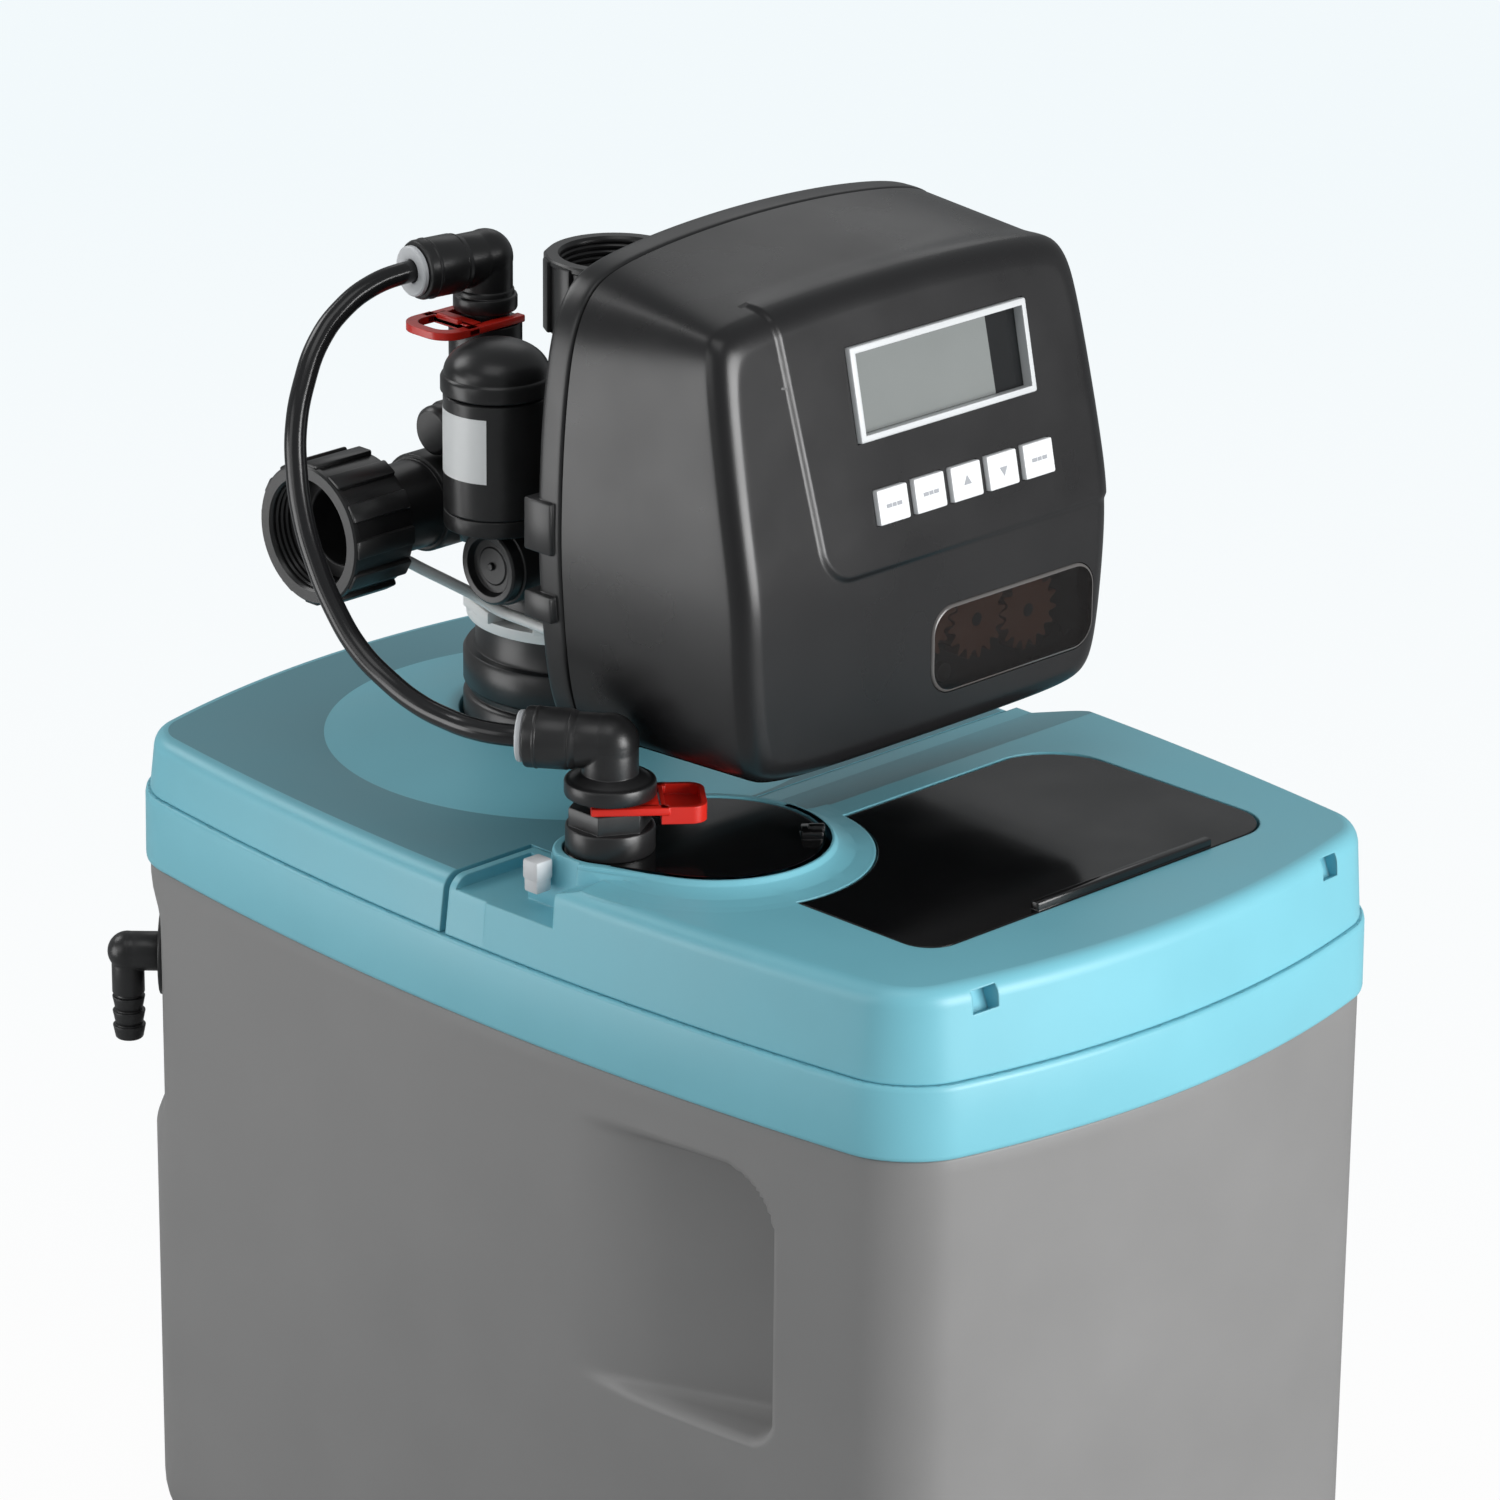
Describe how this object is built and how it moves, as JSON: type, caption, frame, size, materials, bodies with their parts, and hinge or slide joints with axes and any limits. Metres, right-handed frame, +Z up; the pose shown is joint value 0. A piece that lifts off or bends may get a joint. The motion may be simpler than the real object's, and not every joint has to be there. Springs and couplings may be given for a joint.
{
  "type": "cabinet water softener",
  "caption": "Cabinet water softener: bowed grey salt cabinet with turquoise covers, black salt hatch, brine well and a metered control valve with display, geared piston drive and union nuts.",
  "frame": {"origin": "middle of the flat base", "axes": "-Y is the front with the display and the salt hatch, +X is to the right seen from the front, +Z is up"},
  "size_m": [0.334, 0.53, 0.665],
  "materials": {
    "grey_cabinet": "fine matt grain",
    "turquoise_cover": "satin",
    "pale_plastic": "satin",
    "black_gloss": "gloss",
    "black_plastic": "satin",
    "cover_plastic": "fine satin grain",
    "white_plastic": "satin",
    "red_plastic": "gloss",
    "tube_plastic": "satin gloss",
    "tank_shell": "wound resin",
    "seal_rubber": "matt",
    "steel": "plated",
    "gear_plastic": "moulded",
    "lcd_glass": "gloss",
    "board": "lacquered",
    "button_white": "satin",
    "smoked_glass": "gloss"
  },
  "bodies": {
    "base": {"cabinet": "grey_cabinet", "top_collar": "turquoise_cover", "rear_cover": "turquoise_cover", "front_cover": "turquoise_cover", "latch_block": "pale_plastic", "hatch_pin": "steel", "brine_well": "white_plastic", "brine_well_cap": "black_gloss", "brine_valve": "white_plastic", "brine_fitting": "black_plastic", "brine_elbow": "black_plastic", "brine_collet": "pale_plastic", "brine_tube": "tube_plastic", "refill_elbow": "black_plastic", "refill_collet": "pale_plastic", "overflow_elbow": "black_plastic", "overflow_nut": "black_plastic", "mineral_tank": "tank_shell", "riser_tube": "white_plastic", "lower_basket": "white_plastic", "tank_collar": "black_plastic", "lock_ring": "pale_plastic", "valve_body": "black_plastic", "seal_stack": "seal_rubber", "injector_housing": "black_plastic", "injector_cap": "black_plastic", "injector_plug": "black_plastic", "drain_plug": "black_plastic", "outlet_elbow": "black_plastic", "inlet_elbow": "black_plastic", "meter_lead": "pale_plastic", "back_plate": "black_plastic", "drive_bracket": "black_plastic", "bracket_screws": "steel", "drive_motor": "steel", "control_cover": "cover_plastic", "display_bezel": "pale_plastic", "display_panel": "lcd_glass", "pc_board": "board", "gear_window": "smoked_glass"},
    "salt_hatch": {"salt_hatch": "black_gloss"},
    "brine_clip": {"brine_clip": "red_plastic"},
    "refill_clip": {"refill_clip": "red_plastic"},
    "outlet_nut": {"outlet_nut": "black_plastic"},
    "inlet_nut": {"inlet_nut": "black_plastic"},
    "main_gear": {"main_gear": "gear_plastic"},
    "reduction_gear_a": {"reduction_gear_a": "gear_plastic"},
    "reduction_gear_b": {"reduction_gear_b": "gear_plastic"},
    "motor_pinion": {"motor_pinion": "white_plastic"},
    "piston": {"piston": "steel"},
    "meter_turbine": {"meter_turbine": "white_plastic"},
    "brine_float": {"brine_float": "white_plastic"},
    "button_1": {"button_1": "button_white"},
    "button_2": {"button_2": "button_white"},
    "button_3": {"button_3": "button_white"},
    "button_4": {"button_4": "button_white"},
    "button_5": {"button_5": "button_white"}
  },
  "joints": [
    {"name": "hatch_hinge", "type": "hinge", "parent": "base", "child": "salt_hatch", "pos_m": [0.04, -0.08, 0.4105], "axis": [-1, 0, 0], "range_deg": [0, 50]},
    {"name": "button_1_press", "type": "slide", "parent": "base", "child": "button_1", "axis": [0, 0.9774, -0.2113], "range_m": [0, 0.0008], "stiffness_N_per_m": 600, "springref_m": -0.0004},
    {"name": "button_2_press", "type": "slide", "parent": "base", "child": "button_2", "axis": [0, 0.9774, -0.2113], "range_m": [0, 0.0008], "stiffness_N_per_m": 600, "springref_m": -0.0004},
    {"name": "button_3_press", "type": "slide", "parent": "base", "child": "button_3", "axis": [0, 0.9774, -0.2113], "range_m": [0, 0.0008], "stiffness_N_per_m": 600, "springref_m": -0.0004},
    {"name": "button_4_press", "type": "slide", "parent": "base", "child": "button_4", "axis": [0, 0.9774, -0.2113], "range_m": [0, 0.0008], "stiffness_N_per_m": 600, "springref_m": -0.0004},
    {"name": "button_5_press", "type": "slide", "parent": "base", "child": "button_5", "axis": [0, 0.9774, -0.2113], "range_m": [0, 0.0008], "stiffness_N_per_m": 600, "springref_m": -0.0004},
    {"name": "brine_clip_pull", "type": "slide", "parent": "base", "child": "brine_clip", "axis": [0.766, -0.6428, 0], "range_m": [0, 0.03]},
    {"name": "refill_clip_pull", "type": "slide", "parent": "base", "child": "refill_clip", "axis": [-1, 0, 0], "range_m": [0, 0.03]},
    {"name": "outlet_nut_turn", "type": "hinge", "parent": "base", "child": "outlet_nut", "pos_m": [-0.0466, 0.13, 0.5156], "axis": [-1, 0, 0], "continuous": true},
    {"name": "inlet_nut_turn", "type": "hinge", "parent": "base", "child": "inlet_nut", "pos_m": [0.0466, 0.13, 0.5156], "axis": [0, 0, 1], "continuous": true},
    {"name": "main_gear_turn", "type": "hinge", "parent": "base", "child": "main_gear", "pos_m": [0, -0.092, 0.506], "axis": [0, -1, 0], "range_deg": [-1, 1081]},
    {"name": "reduction_gear_b_turn", "type": "hinge", "parent": "base", "child": "reduction_gear_b", "pos_m": [0.04404, -0.092, 0.49203], "axis": [0, -1, 0], "range_deg": [-2027, 2]},
    {"name": "reduction_gear_a_turn", "type": "hinge", "parent": "base", "child": "reduction_gear_a", "pos_m": [0.07604, -0.092, 0.4885], "axis": [0, -1, 0], "range_deg": [-2, 2027]},
    {"name": "motor_pinion_turn", "type": "hinge", "parent": "base", "child": "motor_pinion", "pos_m": [0.06705, -0.092, 0.51522], "axis": [0, -1, 0], "range_deg": [-2703, 3]},
    {"name": "piston_stroke", "type": "slide", "parent": "base", "child": "piston", "axis": [0, 1, 0], "range_m": [0, 0.03]},
    {"name": "turbine_spin", "type": "hinge", "parent": "base", "child": "meter_turbine", "pos_m": [-0.084, 0.13, 0.5156], "axis": [-1, 0, 0], "continuous": true},
    {"name": "float_rise", "type": "slide", "parent": "base", "child": "brine_float", "axis": [0, 0, 1], "range_m": [0, 0.06]}
  ],
  "couplings": [
    {"joint": "main_gear_turn", "follows": "piston_stroke", "rad_per_m": 628.32},
    {"joint": "reduction_gear_b_turn", "follows": "piston_stroke", "rad_per_m": -1178.1},
    {"joint": "reduction_gear_a_turn", "follows": "piston_stroke", "rad_per_m": 1178.1},
    {"joint": "motor_pinion_turn", "follows": "piston_stroke", "rad_per_m": -1570.8}
  ]
}
